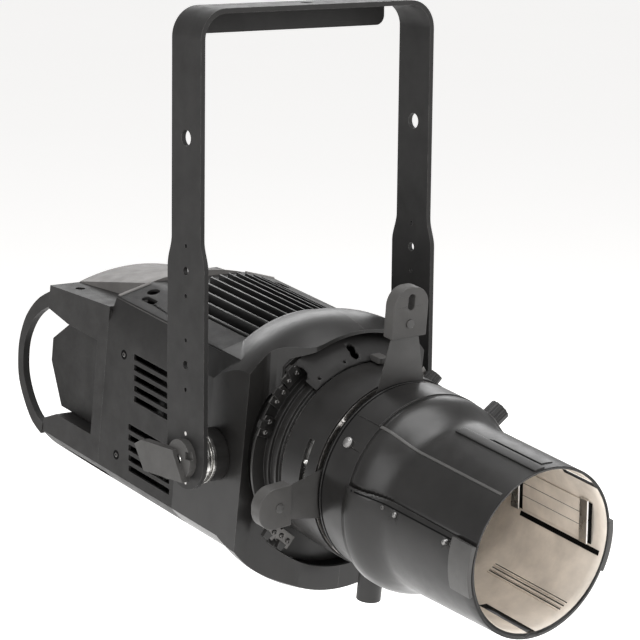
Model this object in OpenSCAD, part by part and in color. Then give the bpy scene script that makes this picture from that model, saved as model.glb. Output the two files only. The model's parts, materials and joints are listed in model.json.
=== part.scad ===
// Ellipsoidal spotlight hung in a U-shaped yoke, in millimetres.
// Z is up and X runs across the yoke. The beam points along -Y and dips below the horizontal at rest.
// The origin is the centre of the clamp hole on the top face of the yoke's crossbar.
// Head parts are drawn in their own axes: x across, h up from the optical axis, s forward along the beam.

/* [Yoke] */
// Outside width across the two arms
yoke_w = 290; // [286:1:310]
// Thickness of the flat bar
bar_t = 5; // [4:0.5:6]
// Width of the bar in the crossbar and the upper arms
bar_w = 50; // [40:1:54]
// Width of the arms at the pivot holes
arm_wide = 64; // [58:1:76]
// Outside radius of the two bends
bend_r = 30; // [20:1:40]
// Height of the crossbar's top face above the tilt pivot
pivot_drop = 448; // [444:1:480]
// Distance from one pivot hole to the next
hole_pitch = 94.5; // [80:0.5:100]
// Diameter of the pivot holes
pivot_hole_d = 9; // [8:0.5:10]
// Diameter of the small locating holes
pin_hole_d = 4.5; // [3:0.5:6]
// Diameter of the clamp hole in the crossbar
clamp_hole_d = 13; // [11:0.5:14]
// Diameter of the safety-cable hole in each arm
cable_hole_d = 16; // [12:1:20]
// Depth of the stiffening flange along the crossbar's rear edge
flange_h = 28; // [20:1:32]

/* [Tilt pivot] */
// Diameter of the friction discs
disc_d = 58; // [50:1:60]
// Diameter of the clamp lever's hub
hub_d = 40; // [30:1:44]
// Length of the clamp lever from the pivot
lever_len = 72; // [60:1:80]

/* [Body] */
// Width of the body across its side panels
body_w = 220; // [214:1:224]
// Radius of the rounded belly about the optical axis
belly_r = 148; // [146:1:150]
// Wall thickness of the sheet and moulded covers
wall = 3; // [2:0.5:3.5]
// Height of the side panels' top edge above the optical axis
shoulder_h = 88; // [85:1:92]
// Height of the deck beside the fins
deck_h = 99; // [97:1:103]
// Number of ventilation slots in each group
vent_n = 5; // [3:1:5]
// Distance from one ventilation slot to the next
vent_pitch = 11; // [10:0.5:11.5]

/* [Rear end] */
// Length of the rear cover behind the body
rear_len = 118; // [110:1:124]
// Width of the handle bars across the lamp
handle_t = 8; // [6:1:11]

/* [Front shell] */
// Swollen radius of the front shell
bell_r = 145; // [143:1:147]
// Thickness of the front shell's wall
bell_wall = 4; // [3:0.5:5]

/* [Barrel] */
// Outside radius of the barrel behind the shutters
sleeve_r = 98; // [97:0.5:99]
// Outside radius of the barrel nose
nose_r = 96.5; // [96:0.5:97.5]
// Forward position of the shutter slot
shutter_s = 149; // [148:0.5:150]
// Diameter of the gate aperture
gate_d = 76; // [66:1:80]

/* [Shutters] */
// Thickness of a shutter blade
blade_t = 0.8; // [0.6:0.1:0.9]
// Width of a shutter blade inside the gate
blade_w = 72; // [64:1:74]
// Width of a shutter handle
grip_w = 42; // [36:1:44]
// Thickness of a shutter handle
grip_t = 14; // [10:1:16]
// Travel of a shutter from pulled out to pushed in
shutter_travel = 43; // [36:1:43]

/* [Lens tube] */
// Outside radius of the lens tube
tube_r = 84; // [82:0.5:85]
// Forward position of the front rim
rim_s = 375; // [360:1:390]
// Wall thickness of the lens tube
tube_wall = 2.6; // [2:0.2:3]

/* [Light engine] */
// Number of heat-sink fins
fin_n = 13; // [9:1:15]
// Thickness of a fin
fin_t = 2; // [1.5:0.1:2.5]
// Radius of the fins' tops about the optical axis
fin_r = 119; // [117:0.5:121]
// Number of fan blades
fan_blades = 7; // [5:1:9]

/* [Rest pose] */
// Downward tilt of the beam at rest
tilt_rest = 8; // [0:1:30]

/* [Hidden] */
$fn = 96;

// Shared values
e = 1;
far = 400;
fit = 0.05;
gap = 0.3;
half_w = body_w / 2;
axis_rise = 16.5;
black = "#2c2b2b";
charcoal = "#454343";
graphite = "#383636";
steel = "#b9b7b2";

// Yoke
arm_half = bar_w / 2;
wide_half = arm_wide / 2;
arm_in = yoke_w / 2 - bar_t;
flare_top = 226;
flare_len = 30;
flare_steps = 10;
pin_offset = 25;
cable_hole_z = 127;
flange_t = 4;
flange_half = 116;
flange_corner = 10;

// Tilt pivot, measured outward from the middle of the yoke
pad_t = 3.5;
disc_t = 3.5;
spacer_d = 50;
bolt_d = pivot_hole_d - 2 * fit;
stack_out = arm_in - pad_t - fit;
boss_out = stack_out - 3 * disc_t;
boss_d = 54;
boss_neck_d = 38;
chassis_x = 97;
hub_t = 8;
cap_d = 22;
cap_t = 9;

// Body, forward positions
body_rear = -207;
body_front = -65;
deck_front = -14;
deck_window_x = 70;
deck_window_rear = -155;
side_low = -98;
lean_h = 60;
lean = 8.5;
deck_split = shoulder_h - 2;
deck_slot_x = 86;
deck_slot_s = [-176, -163];
deck_hole_x = 72;
deck_hole_s = -184;
vent_top = 37.5;
vent_low_top = -39.5;
vent_rear = -155;
vent_len = 77;
vent_h = 6.6;
cover_screw_s = -173.5;
cover_screw_h = [34, -77.5];
screw_d = 9;
screw_t = 2.4;

// Rear end
shelf_rear = body_rear - rear_len;
frame_bar = 18;
shelf_low = 34;
shelf_top_rear = 66;
shelf_top_front = 77;
shelf_hole_x = 90;
shelf_hole_s = -296;
tray_top = -72;
tray_low = [-116, -136];
box_half = half_w - frame_bar;
box_rear = -340;
box_low_rear = -314;
box_knee = -27;
hood_front = [62, 106, 8];
hood_rear = [73, 80, 13];

// Controls on the box's slanted and upright faces
face_drop = 25;
display_w = 66;
display_h = 24;
button_d = 9;
button_x = [-34, -18, -2];
button_h = -13.5;
button_out = 2.5;
dial_d = 17;
dial_x = 28;
dial_t = 12;
socket_d = 26;
power_x = [-58, -24];
data_x = [22, 56];

// Front shell and gate
bell_drop = -11;
bell_rear_r = 130;
bell_peak = 45;
bell_front = 83;
bell_lip = 6.5;
bell_side_front = 48;
cut_in = 52;
cut_out = 92;
cut_steps = 8;
bell_blend = 22;
throat_r = 104;
collar_r = 124;
collar_s = 62.5;
gate_rear = 44;
gate_front = 92;
gate_r = 97;
gate_in = 88;
rail_r = 100.5;
rail_t = 3;
rail_s = [75, 88];
rail_span = [40, 118];
flange_r = 111;
flange_x = 82;
flange_s = 63;
cone_rear = [122, 70];
cone_front = [100.8, 96.5];
cone_t = 3;
cone_span = 40;

// Barrel
ring_in = 94;
sleeve_rear = 97.3;
slot_s = 130;
slot_w = 8;
slot_mid = [-79.5, 100.5];
slot_span = 27;
guide_d = 3.4;
plate_r = 96;
plate_t = 1;
plane_gap = 0.4;
shutter_end = shutter_s + plate_t + 4 * blade_t + 5 * plane_gap;
nose_rear = shutter_end + plate_t;
nose_front = 199.3;
nose_in = 92;
post_angles = [37, 117, 210, 311];
post_at = 91;
post_d = 8;
slot_knob_angle = 42;
slot_knob_s = 112;
slot_stem_d = 5;
lock_s = 133.2;
lock_d = 25;
lock_out = 141;
stud_d = 8;
nose_screw_s = 177;
nose_screw_a = [-58, 122];

// Shutters, distances outward from the optical axis with the shutter pulled out
blade_tip = gate_d / 2 + 1;
blade_shoulder = 78;
blade_base = 91;
blade_base_w = 57;
blade_neck = 140;
blade_neck_w = 35;
grip_in = 143;
grip_long = 51;
grip_short = 38;
blade_end = grip_in + 22;
rivet_at = 157;
rivet_d = 6;
rivet_head = 9;
rivet_head_t = 1;
grip_hole_at = 179;
top_angle = -2;
left_angle = -95;
left_rest = 12;
right_angle = 86;
bottom_angle = 152;

// Lens tube
tube_rear = 199.6;
tube_in = tube_r - tube_wall;
seat_r = nose_in - fit * 2;
seat_rear = 160;
seat_in = 88;
split_h = 18;
lower_sag = 3;
lower_r = [101, 88, 84];
shoulder_s = 206;
shoulder_end = 252;
shoulder_steps = 10;
slit_w = 10;
slit_front = 371;
slits = [[45, 328], [180, 303]];
tube_screw_s = [262, 336];
pad_span = 17;
pad_mid = 95;
runner_rear = 346;
runner_t = 4;
focus_s = 195.5;
focus_angle = 52;
focus_travel = 25;
focus_w = 6.4;
focus_d = 22;
focus_len = 17;
lens_steps = 10;

// Light engine
plate_rear = -26;
fin_rear = -152;
fin_front = -15.5;
fin_low = -75;
fin_half = 68.2;
fan_s = -186;
fan_t = 25;
fan_w = 120;
fan_bore = 57;
rotor_r = 55;
fan_hub = 20;
tunnel_r = 46;

// Places a child drawn in (x, h, s) into the yoke's frame with the head tilted to its rest pose
module in_head() {
    translate([0, 0, -pivot_drop]) rotate([tilt_rest, 0, 0])
        translate([0, 0, axis_rise]) rotate([90, 0, 0]) children();
}

// Places a child on the tilt pivot with its z pointing outward on the given side
module at_pivot(side) {
    translate([0, 0, -pivot_drop]) rotate([0, 90 * side, 0]) children();
}

// Turns a child's y from straight up to the given clock angle about the optical axis
module at_clock(angle) {
    rotate([0, 0, -angle]) children();
}

// Points a child's z outward from the optical axis at a clock angle and a forward position
module radial(angle, s) {
    at_clock(angle) translate([0, 0, s]) rotate([-90, 0, 0]) children();
}

module ring(outer, inner, s0, s1) {
    translate([0, 0, s0]) difference() {
        cylinder(r = outer, h = s1 - s0);
        translate([0, 0, -e]) cylinder(r = inner, h = s1 - s0 + 2 * e);
    }
}

function pie(r, a0, a1, n = 8) =
    concat([[0, 0]], [for (i = [0:n]) let (a = a0 + (a1 - a0) * i / n) [r * sin(a), r * cos(a)]]);

module wedge(r, a0, a1, s0, s1) {
    translate([0, 0, s0]) linear_extrude(s1 - s0) polygon(pie(r, a0, a1));
}

// A flat outline in (s, h) given a thickness across x
module across(x0, x1) {
    translate([x1, 0, 0]) rotate([0, -90, 0]) linear_extrude(x1 - x0) children();
}

// ---------- Yoke ----------

module strap(w, drop, r) {
    translate([-w / 2, -drop]) square([w, drop - r]);
    translate([-w / 2 + r, -drop]) square([w - 2 * r, drop]);
    for (side = [-1, 1]) translate([side * (w / 2 - r), -r]) circle(r = r);
}

module yoke_profile() {
    drop = pivot_drop + wide_half + e;
    difference() {
        strap(yoke_w, drop, bend_r);
        translate([0, -bar_t]) strap(yoke_w - 2 * bar_t, drop, bend_r - bar_t);
    }
}

function flare(side) = [for (i = [0:flare_steps]) let (t = i / flare_steps)
    [side * (arm_half + (wide_half - arm_half) * (1 - cos(180 * t)) / 2), -flare_top - flare_len * t]];

function backwards(points) = [for (i = [len(points) - 1:-1:0]) points[i]];

module arm_outline() {
    polygon(concat([[-arm_half, e]], flare(-1), [[-wide_half, -pivot_drop], [wide_half, -pivot_drop]],
        backwards(flare(1)), [[arm_half, e]]));
    translate([0, -pivot_drop]) circle(r = wide_half);
}

module flange_outline() {
    translate([-flange_half, flange_corner - flange_h]) square([2 * flange_half, flange_h - flange_corner]);
    translate([flange_corner - flange_half, -flange_h])
        square([2 * (flange_half - flange_corner), flange_h]);
    for (side = [-1, 1])
        translate([side * (flange_half - flange_corner), flange_corner - flange_h])
            circle(r = flange_corner);
}

module cross_hole(d, y, z) {
    translate([0, y, z]) rotate([0, 90, 0]) cylinder(d = d, h = yoke_w + 2 * e, center = true);
}

module yoke_bracket() {
    color(charcoal) difference() {
        union() {
            intersection() {
                rotate([90, 0, 0]) linear_extrude(arm_wide, center = true) yoke_profile();
                rotate([90, 0, 90]) linear_extrude(yoke_w + 2 * e, center = true) arm_outline();
            }
            translate([0, arm_half, 0]) rotate([90, 0, 0]) linear_extrude(flange_t) flange_outline();
        }
        translate([0, 0, -bar_t - e]) cylinder(d = clamp_hole_d, h = bar_t + 2 * e);
        cross_hole(cable_hole_d, 0, -cable_hole_z);
        for (i = [0:2]) {
            z = -pivot_drop + i * hole_pitch;
            cross_hole(pivot_hole_d, 0, z);
            for (side = [-1, 1]) cross_hole(pin_hole_d, 0, z + side * pin_offset);
        }
    }
}

// Friction pads pinned to the inner faces of the arms
module yoke_pads() {
    color(steel) for (side = [-1, 1]) at_pivot(side) translate([0, 0, arm_in]) {
        difference() {
            translate([0, 0, -pad_t]) cylinder(d = disc_d, h = pad_t);
            translate([0, 0, -pad_t - e]) cylinder(d = pivot_hole_d, h = pad_t + 2 * e);
        }
        for (end = [-1, 1])
            translate([end * pin_offset, 0, 0]) cylinder(d = pin_hole_d - 2 * fit, h = bar_t - gap);
    }
}

// ---------- Tilt pivot ----------

// Hub with an oblique-ended paddle that points to the rear
module tilt_lever() {
    color(black) at_pivot(-1) translate([0, 0, yoke_w / 2 + gap]) difference() {
        union() {
            cylinder(d = hub_d, h = hub_t);
            translate([0, 0, hub_t - 5]) linear_extrude(10)
                polygon([[9, 4], [9, lever_len - 12], [3, lever_len], [-22, lever_len - 17], [-21, -14]]);
        }
        translate([0, 0, -e]) cylinder(d = pivot_hole_d, h = hub_t + 2);
        translate([2, -hub_d / 2 - e, hub_t - 4]) cube([8, 9, 5]);
    }
}

module pivot_bolts() {
    color(steel) {
        at_pivot(-1) translate([0, 0, chassis_x - 6])
            cylinder(d = bolt_d, h = yoke_w / 2 + hub_t - chassis_x + 6);
        at_pivot(1) {
            translate([0, 0, chassis_x - 6]) cylinder(d = bolt_d, h = yoke_w / 2 + gap - chassis_x + 6);
            translate([0, 0, yoke_w / 2 + gap]) cylinder(d = cap_d + 6, h = 2);
            translate([0, 0, yoke_w / 2 + gap + 2]) cylinder(d = cap_d, h = cap_t, $fn = 6);
        }
    }
}

module friction_discs() {
    color(steel) for (side = [-1, 1]) at_pivot(side) difference() {
        union() {
            translate([0, 0, boss_out]) cylinder(d = disc_d - 2, h = disc_t);
            translate([0, 0, boss_out + disc_t]) cylinder(d = spacer_d, h = disc_t);
            translate([0, 0, boss_out + 2 * disc_t]) cylinder(d = disc_d, h = disc_t);
        }
        translate([0, 0, boss_out - e]) cylinder(d = pivot_hole_d, h = 3 * disc_t + 2 * e);
    }
}

module pivot_bosses() {
    color(graphite) for (side = [-1, 1]) at_pivot(side) difference() {
        union() {
            translate([0, 0, half_w]) cylinder(d = boss_d, h = boss_out - half_w);
            translate([0, 0, chassis_x + wall]) cylinder(d = boss_neck_d, h = half_w - chassis_x - wall);
        }
        translate([0, 0, chassis_x]) cylinder(d = pivot_hole_d, h = boss_out - chassis_x + e);
    }
}

// Pressed frame between the pivot bosses that carries the light engine
module chassis_frame() {
    color(steel) in_head() difference() {
        union() {
            for (side = [-1, 1]) translate([side * (chassis_x + wall / 2), 0, -10])
                cube([wall, 124, 96], center = true);
            translate([0, 0, 36.5]) cube([2 * chassis_x + wall, 124, wall], center = true);
        }
        translate([0, 0, 30]) cylinder(r = 62, h = 12);
        translate([0, -axis_rise, 0]) rotate([0, 90, 0])
            cylinder(d = pivot_hole_d, h = 2 * chassis_x + 4 * wall, center = true);
    }
}

// ---------- Body covers ----------

// Section of the body: flat sides that lean in at the top, rounded belly and a low-pitched deck
module body_section(inset = 0) {
    x = half_w - inset;
    y = shoulder_h - inset;
    intersection() {
        circle(r = belly_r - inset);
        polygon([[-x, -far], [x, -far], [x, lean_h], [x - lean, y], [60, deck_h - inset],
            [-60, deck_h - inset], [lean - x, y], [-x, lean_h]]);
    }
}

module body_tube(s0, s1) {
    translate([0, 0, s0]) linear_extrude(s1 - s0) difference() {
        body_section();
        body_section(wall);
    }
}

module vent_group(top) {
    for (i = [0:vent_n - 1])
        translate([-e, top - i * vent_pitch - vent_h / 2, vent_rear + i * 1.6])
            cube([wall + 2 * e, vent_h, vent_len]);
}

module side_cover(side) {
    color(charcoal) in_head() mirror([side > 0 ? 1 : 0, 0, 0]) difference() {
        intersection() {
            body_tube(body_rear, body_front);
            translate([-half_w - e, side_low, -far]) cube([half_w, deck_split - side_low, far]);
        }
        translate([-half_w, 0, 0]) {
            vent_group(vent_top);
            vent_group(vent_low_top);
        }
        for (h = cover_screw_h) translate([-half_w - e, h, cover_screw_s]) rotate([0, 90, 0])
            cylinder(d = screw_d, h = wall + 2 * e);
    }
}

module belly_cover() {
    color(charcoal) in_head() intersection() {
        body_tube(body_rear, body_front);
        translate([-far, side_low - far, -far]) cube([2 * far, far, 2 * far]);
    }
}

module top_deck() {
    color(charcoal) in_head() difference() {
        intersection() {
            body_tube(body_rear, deck_front);
            translate([-far, deck_split, -far]) cube([2 * far, far, 2 * far]);
        }
        translate([-deck_window_x, 0, deck_window_rear])
            cube([2 * deck_window_x, far, deck_front - deck_window_rear + e]);
        for (side = [-1, 1]) {
            for (s = deck_slot_s) translate([side * deck_slot_x, 0, s]) rotate([-90, 0, 0])
                cylinder(d = 9, h = far);
            translate([side * deck_slot_x - 4.5, 0, deck_slot_s[0]])
                cube([9, far, deck_slot_s[1] - deck_slot_s[0]]);
            translate([side * deck_hole_x, 0, deck_hole_s]) rotate([-90, 0, 0]) cylinder(d = 13, h = far);
        }
    }
}

module cover_screws() {
    color(black) in_head() for (side = [-1, 1]) for (h = cover_screw_h)
        translate([side * (half_w - wall / 2), h, cover_screw_s]) rotate([0, 90, 0])
            cylinder(d = screw_d - 2 * fit, h = screw_t, center = true);
}

// ---------- Rear end ----------

module rear_cover() {
    top = [[body_rear, shelf_low], [shelf_rear + 40, shelf_low], [shelf_rear, shelf_low + 6],
        [shelf_rear, shelf_top_rear], [body_rear, shelf_top_front]];
    tray = [[body_rear, tray_top], [shelf_rear + 30, tray_top], [shelf_rear + 6, tray_top - 12],
        [shelf_rear + 6, tray_low[0]], [body_rear, tray_low[1]]];
    color(charcoal) in_head() difference() {
        union() {
            across(-half_w, half_w) polygon([for (p = top) [p[0], p[1]]]);
            intersection() {
                across(-half_w, half_w) polygon([for (p = tray) [p[0], p[1]]]);
                translate([0, 0, shelf_rear]) linear_extrude(rear_len) body_section();
            }
            for (side = [-1, 1])
                translate([side * (half_w - frame_bar / 2), (shelf_low + tray_top) / 2, body_rear - 9])
                    cube([frame_bar, shelf_low - tray_top + 2 * e, 18], center = true);
        }
        across(wall - half_w, half_w - wall) polygon([[body_rear + e, shelf_low + wall],
            [shelf_rear + 30, shelf_low + wall], [shelf_rear + wall, shelf_low + 9],
            [shelf_rear + wall, shelf_top_rear - wall], [body_rear + e, shelf_top_front - wall]]);
        for (side = [-1, 1]) translate([side * shelf_hole_x, shelf_low + wall + e, shelf_hole_s])
            rotate([-90, 0, 0]) cylinder(d = 11, h = far);
        across(wall - half_w + 8, half_w - wall - 8) polygon([[body_rear + e, tray_top - wall],
            [shelf_rear + 32, tray_top - wall], [shelf_rear + 12, tray_top - 16],
            [shelf_rear + 12, tray_low[0] + 8], [body_rear + e, tray_low[1] + 10]]);
    }
}

// The hood's section at one end: half width, crest height and rise of the dome above a flat floor
module hood_section(shape, inset) {
    half = shape[0];
    rise = shape[2];
    r = (half * half + rise * rise) / (2 * rise);
    intersection() {
        translate([0, shape[1] - r]) circle(r = r - inset, $fn = 360);
        translate([inset - half, shelf_low + 20]) square([2 * (half - inset), far]);
    }
}

module hood_form(inset) {
    hull() {
        translate([0, 0, body_rear - 0.2 - inset]) linear_extrude(0.1) hood_section(hood_front, inset);
        translate([0, 0, shelf_rear + 1 + inset]) linear_extrude(0.1) hood_section(hood_rear, inset);
    }
}

module exhaust_hood() {
    color("#8b8884") in_head() difference() {
        hood_form(0);
        hood_form(wall);
        across(-far, far) polygon([[body_rear + e, 0], [shelf_rear - e, 0],
            [shelf_rear - e, shelf_top_rear], [body_rear + e, shelf_top_front + 0.1]]);
    }
}

handle_outer = [[-318, 63], [-344, 47], [-362, 29], [-373, 11], [-380, -13], [-380, -36],
    [-375, -57], [-361, -78], [-342, -96], [-316, -106]];
handle_inner = [[-318, 45], [-336, 35], [-352, 21], [-363, 4], [-369, -14], [-369, -35],
    [-364, -53], [-351, -72], [-334, -86], [-316, -92]];

// A smooth curve through points, three steps from each to the next
function curve(p) = [for (i = [0:len(p) - 2]) for (k = [0:2])
    let (t = k / 3, a = p[max(i - 1, 0)], b = p[i], c = p[i + 1], d = p[min(i + 2, len(p) - 1)])
    b + (c - a) * t / 2 + (2 * a - 5 * b + 4 * c - d) * t * t / 2 + (3 * b - a - 3 * c + d) * t * t * t / 2];

module handle(side) {
    color(graphite) in_head() mirror([side > 0 ? 1 : 0, 0, 0]) across(-half_w, handle_t - half_w)
        difference() {
            polygon(concat(curve(handle_outer), backwards(curve(handle_inner))));
            translate([shelf_rear, shelf_low - 1]) square([20, 60]);
            translate([shelf_rear + 6, -140]) square([20, 80]);
        }
}

box_outline = [[body_rear - 0.5, shelf_low - 0.5], [shelf_rear + 16, face_drop], [box_rear, 0],
    [box_rear, box_knee], [box_low_rear, tray_top + 0.5], [body_rear - 0.5, tray_top + 0.5]];
box_inside = [[body_rear, shelf_low - 0.5 - wall], [shelf_rear + 17, face_drop - wall],
    [box_rear + wall, -wall / 2], [box_rear + wall, box_knee + e], [box_low_rear + 2, tray_top + wall],
    [body_rear, tray_top + wall]];

// Centre and backward slope of the display face and of the socket face, in (s, h)
display_mid = [(shelf_rear + 16 + box_rear) / 2, face_drop / 2];
display_slope = atan2(box_rear - shelf_rear - 16, face_drop);
socket_mid = [(box_rear + box_low_rear) / 2, (box_knee + tray_top) / 2];
socket_slope = atan2(box_low_rear - box_rear, box_knee - tray_top);

// Places a child with its z pointing out of a rear face, x across and y up the face
module on_face(mid, slope, x) {
    translate([x, mid[1], mid[0]]) rotate([slope, 0, 0]) rotate([0, 180, 0]) children();
}

module control_housing() {
    color(graphite) in_head() difference() {
        across(-box_half, box_half) polygon(box_outline);
        across(wall - box_half, box_half - wall) polygon(box_inside);
        on_face(display_mid, -display_slope, -22)
            cube([display_w, display_h, 4 * wall], center = true);
        for (x = button_x) translate([x, button_h, box_rear - e])
            cylinder(d = button_d + 4 * fit, h = wall + 2 * e);
        translate([dial_x, button_h, box_rear - e]) cylinder(d = 6.2, h = wall + 2 * e);
        for (x = concat(power_x, data_x)) on_face(socket_mid, -socket_slope, x)
            translate([0, 0, -2 * wall]) cylinder(d = socket_d, h = 4 * wall);
    }
}

module control_display() {
    color("#20262a") in_head() on_face(display_mid, -display_slope, -22)
        translate([0, 0, -wall]) linear_extrude(wall - 0.6)
            square([display_w - 2 * fit, display_h - 2 * fit], center = true);
}

module control_knob() {
    color(black) in_head() translate([dial_x, button_h, box_rear]) {
        translate([0, 0, -gap - dial_t]) cylinder(d = dial_d, h = dial_t);
        translate([0, 0, -gap]) cylinder(d = 6, h = wall + gap);
    }
}

module control_button(i) {
    color("#6d6b69") in_head() translate([button_x[i - 1], button_h, box_rear - button_out])
        cylinder(d = button_d, h = wall + button_out);
}

module socket(depth) {
    translate([0, 0, -depth]) difference() {
        union() {
            cylinder(d = socket_d - 2 * fit, h = depth);
            translate([0, 0, depth]) cylinder(d = socket_d + 4, h = 2);
        }
        translate([0, 0, 5]) cylinder(d = socket_d - 6, h = depth);
    }
}

module power_sockets() {
    color("#3f5f86") in_head() for (x = power_x) on_face(socket_mid, -socket_slope, x) socket(16);
}

module data_sockets() {
    color(black) in_head() for (x = data_x) on_face(socket_mid, -socket_slope, x) {
        socket(14);
        for (i = [0:4]) at_clock(120 + i * 60) translate([0, 6, -9]) cylinder(d = 1.6, h = 7);
    }
}

module power_supply() {
    color(steel) in_head() translate([0, -107, -130]) cube([110, 40, 130], center = true);
}

// ---------- Light engine ----------

module heat_sink() {
    pitch = 2 * (fin_half - fin_t / 2) / (fin_n - 1);
    color("#3b3a3a") in_head() {
        intersection() {
            translate([0, 0, fin_rear]) cylinder(r = fin_r, h = fin_front - fin_rear);
            union() {
                for (i = [0:fin_n - 1])
                    translate([i * pitch - fin_half, fin_low, fin_rear])
                        cube([fin_t, far, plate_rear - fin_rear]);
                translate([-fin_half, fin_low, plate_rear]) cube([2 * fin_half, -2 * fin_low, 8]);
                for (i = [0:fin_n - 1])
                    translate([i * pitch - fin_half, deck_h - 20, plate_rear])
                        cube([fin_t, far, fin_front - plate_rear]);
                translate([-fin_half, 55, plate_rear]) cube([2 * fin_half, 32, 8]);
            }
        }
    }
}

module led_module() {
    color("#d8c85a") in_head() {
        translate([0, 0, plate_rear + 8]) cylinder(r = 34, h = 4);
        translate([0, 0, plate_rear + 12]) cylinder(r = 17, h = 2.5);
    }
}

module light_tunnel() {
    color(steel) in_head() ring(tunnel_r, tunnel_r - 2, plate_rear + 12, gate_rear - gap);
}

module fan_frame() {
    color(black) in_head() translate([0, 0, fan_s]) difference() {
        translate([-fan_w / 2, -fan_w / 2, 0]) cube([fan_w, fan_w, fan_t]);
        translate([0, 0, -e]) difference() {
            cylinder(r = fan_bore, h = fan_t + 2 * e);
            translate([0, 0, -e]) cylinder(r = fan_hub, h = 4 + 2 * e);
            for (i = [0:3]) at_clock(45 + 90 * i) translate([-3, 0, 0]) cube([6, fan_bore + e, 4 + e]);
        }
    }
}

module fan_rotor() {
    color(graphite) in_head() translate([0, 0, fan_s + 4 + gap]) {
        cylinder(r = fan_hub, h = 17);
        intersection() {
            cylinder(r = rotor_r, h = 17);
            for (i = [0:fan_blades - 1]) at_clock(360 / fan_blades * i)
                translate([0, fan_hub - 2, 8.5]) rotate([0, 38, 0])
                    translate([-12, 0, -0.8]) cube([24, rotor_r, 1.6]);
        }
    }
}

// ---------- Front shell and gate ----------

function bell_radius(s) = s < bell_peak
    ? bell_rear_r + (bell_r - bell_rear_r) * sin(90 * max(0, (s - deck_front) / (bell_peak - deck_front)))
    : bell_r - bell_lip * (1 - cos(90 * (s - bell_peak) / (bell_front - bell_peak)));

// The shell's front edge sweeps back from the lip to the flat sides in an S, x against s
function side_cut(inset) = [for (i = [0:cut_steps]) let (t = i / cut_steps)
    [cut_in + (cut_out - cut_in) * t - inset / 2,
        bell_front - inset * t - (bell_front - bell_side_front) * (1 - cos(180 * t)) / 2]];

// Domed front shell whose rear edge carries on the body's section
module bell_form(inset) {
    rear = body_front - (inset > 0 ? e : 0);
    steps = [for (i = [0:14]) rear + (bell_front - inset - rear) * i / 14];
    difference() {
        union() {
            intersection() {
                translate([0, bell_drop, 0]) rotate_extrude()
                    polygon(concat([[0, rear]], [for (s = steps) [bell_radius(s) - inset, s]],
                        [[0, bell_front - inset]]));
                translate([inset - half_w, -far, -far]) cube([2 * (half_w - inset), 2 * far, 2 * far]);
            }
            translate([0, 0, rear]) linear_extrude(bell_blend - rear) body_section(inset);
        }
        for (side = [0, 1]) mirror([side, 0, 0])
            translate([0, far, 0]) rotate([90, 0, 0]) linear_extrude(2 * far)
                polygon(concat([[cut_in - inset / 2, bell_front + e]], side_cut(inset),
                    [[far, bell_side_front - inset], [far, bell_front + e]]));
    }
}

module bell_half(side) {
    color(graphite) in_head() intersection() {
        translate([side > 0 ? 0 : -far, -far, -far]) cube([far, 2 * far, 2 * far]);
        difference() {
            bell_form(0);
            bell_form(bell_wall);
            translate([0, 0, collar_s]) cylinder(r = collar_r, h = far);
            cylinder(r = throat_r, h = far);
            translate([-far, deck_split, -far]) cube([2 * far, far, far + deck_front]);
            translate([0, -axis_rise, 0]) rotate([0, 90, 0])
                cylinder(d = boss_neck_d + 2 * fit, h = 2 * far, center = true);
        }
    }
}

module gate_housing() {
    color(black) in_head() {
        ring(gate_r, gate_in, gate_rear, gate_front);
        ring(throat_r, tunnel_r + fit, gate_rear - 6, gate_rear + 1);
        ring(gate_r, tunnel_r - 2, gate_rear, gate_rear + 4);
        for (s = rail_s) for (side = [0, 1]) mirror([side, 0, 0]) intersection() {
            ring(rail_r, gate_r - e, s, s + rail_t);
            wedge(2 * rail_r, rail_span[0], rail_span[1], s - e, s + rail_t + e);
        }
        ring(flange_r, gate_r - e, flange_s, flange_s + rail_t);
        intersection() {
            ring(collar_r - fit * 4, gate_r - e, flange_s, flange_s + rail_t);
            translate([-flange_x, -far, 0]) cube([2 * flange_x, 2 * far, far]);
        }
    }
}

module rotation_sleeve() {
    color(steel) in_head() {
        ring(ring_in - 2 * fit, gate_in, gate_front, shutter_s - gap);
        for (angle = slot_mid) radial(angle, slot_s)
            translate([0, 0, ring_in - 3]) cylinder(d = guide_d, h = sleeve_r - ring_in + 3);
    }
}

// Conical cover over the accessory slot on top of the gate
module slot_cover() {
    color("#7b7875") in_head() difference() {
        intersection() {
            rotate_extrude() polygon([cone_rear, [cone_rear[0] - cone_t, cone_rear[1]],
                [cone_front[0] - cone_t, cone_front[1]], cone_front]);
            wedge(2 * cone_rear[0], -cone_span, cone_span, cone_rear[1] - e, cone_front[1] + e);
        }
        cylinder(r = gate_r + fit, h = far);
        for (x = [-1, 1]) radial(-8, 86 + x * 3) cylinder(d = 9, h = far);
        for (angle = [-34, -16]) radial(angle, 92) cylinder(d = 3, h = far);
        radial(-cone_span, 78) cylinder(d = 16, h = far);
    }
}

module knurled(d, h, notch) {
    difference() {
        cylinder(d = d, h = h);
        for (i = [0:11]) rotate([0, 0, 30 * i]) translate([d / 2 + notch / 4, 0, 2])
            cylinder(d = notch, h = h, $fn = 16);
    }
}

module slot_knob() {
    color(black) in_head() radial(slot_knob_angle, slot_knob_s) {
        translate([0, 0, ring_in + 1]) cylinder(d = slot_stem_d - 2 * fit, h = 5);
        translate([0, 0, sleeve_r + gap]) knurled(16, 12, 3);
    }
}

// ---------- Barrel ----------

module barrel_sleeve() {
    color(graphite) in_head() difference() {
        ring(sleeve_r, ring_in, sleeve_rear, shutter_s);
        for (angle = slot_mid)
            wedge(2 * sleeve_r, angle - slot_span / 2, angle + slot_span / 2,
                slot_s - slot_w / 2, slot_s + slot_w / 2);
        radial(180, lock_s) cylinder(d = stud_d, h = far);
        radial(slot_knob_angle, slot_knob_s)
            translate([0, 0, ring_in + 0.8]) cylinder(d = slot_stem_d, h = far);
    }
}

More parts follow.
